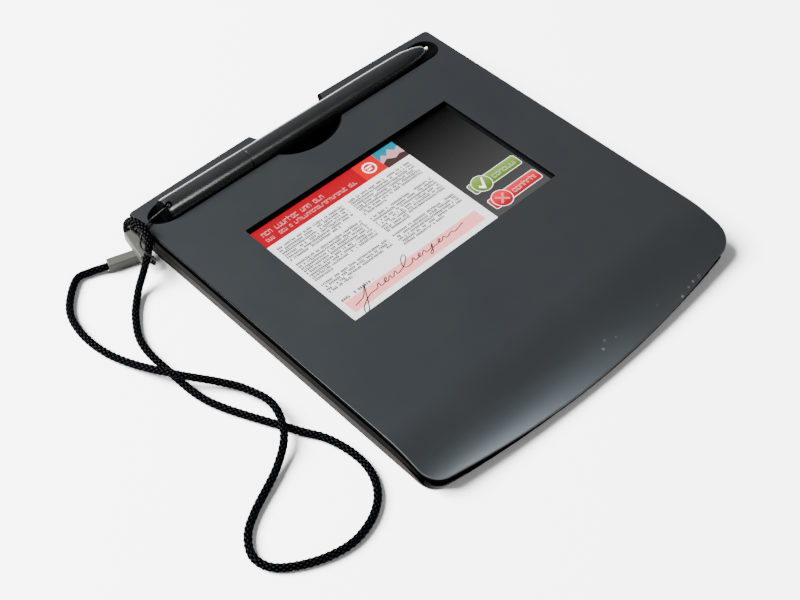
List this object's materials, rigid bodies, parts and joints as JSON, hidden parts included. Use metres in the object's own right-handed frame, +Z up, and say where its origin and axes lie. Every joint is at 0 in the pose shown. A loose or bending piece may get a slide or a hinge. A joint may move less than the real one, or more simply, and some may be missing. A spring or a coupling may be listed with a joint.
{
  "type": "signature pad",
  "caption": "Counter-top pad with a recessed display for signing and a battery-free pen that rests in a trough, held by a braided tether.",
  "frame": {"origin": "on the table, under the centre of the pad's box without its tether", "axes": "+X to the right along the pen trough, +Y to the back edge where the pen lies, +Z up"},
  "size_m": [0.2142, 0.1722, 0.0178],
  "materials": {
    "cover_plastic": "satin",
    "frame_plastic": "satin",
    "case_plastic": "matte",
    "display_glass": "polished",
    "gasket_foam": "matte",
    "display_panel": "satin",
    "light_guide": "satin",
    "circuit_board": "satin",
    "shield_steel": "satin",
    "chip_resin": "matte",
    "connector_plastic": "matte",
    "ribbon_film": "gloss",
    "screw_steel": "satin",
    "foot_rubber": "matte",
    "socket_steel": "satin",
    "pen_plastic": "gloss",
    "nib_plastic": "satin",
    "sensor_plastic": "matte",
    "ferrite": "matte",
    "coil_copper": "satin",
    "braid": "woven",
    "sleeve_plastic": "satin",
    "bead_plastic": "gloss"
  },
  "bodies": {
    "pad": {"top_cover": "cover_plastic", "mid_frame": "frame_plastic", "bottom_case": "case_plastic", "display_glass": "display_glass", "glass_gasket": "gasket_foam", "lcd_panel": "display_panel", "backlight_unit": "light_guide", "sensor_board": "circuit_board", "shield_plate": "shield_steel", "main_board": "circuit_board", "main_chip": "chip_resin", "memory_chip": "chip_resin", "display_connector": "connector_plastic", "sensor_connector": "connector_plastic", "display_ribbon": "ribbon_film", "sensor_ribbon": "ribbon_film", "board_screw_1": "screw_steel", "board_screw_2": "screw_steel", "data_socket": "socket_steel", "case_screw_1": "screw_steel", "case_screw_2": "screw_steel", "case_screw_3": "screw_steel", "case_screw_4": "screw_steel", "case_screw_5": "screw_steel", "case_screw_6": "screw_steel", "rubber_foot_1": "foot_rubber", "rubber_foot_2": "foot_rubber", "rubber_foot_3": "foot_rubber", "rubber_foot_4": "foot_rubber", "tether_anchor_pin": "socket_steel", "tether_cord": "braid", "tether_sleeve_1": "sleeve_plastic", "tether_sleeve_2": "sleeve_plastic", "anchor_thread": "braid", "pen_thread": "braid", "thread_end_knot": "braid", "thread_bead": "bead_plastic"},
    "pen": {"pen_rear_barrel": "pen_plastic", "pen_front_barrel": "pen_plastic", "pen_circuit_board": "circuit_board", "pressure_sensor": "sensor_plastic", "ferrite_core": "ferrite", "pen_coil": "coil_copper", "pen_thread_knot": "braid"},
    "nib": {"pen_nib": "nib_plastic"}
  },
  "joints": [
    {"name": "pen_lift", "type": "slide", "parent": "pad", "child": "pen", "axis": [0, 0, 1], "range_m": [0, 0.03]},
    {"name": "nib_press", "type": "slide", "parent": "pen", "child": "nib", "axis": [-1, 0, 0], "range_m": [0, 0.0005], "stiffness_N_per_m": 1500, "springref_m": -0.0004}
  ]
}
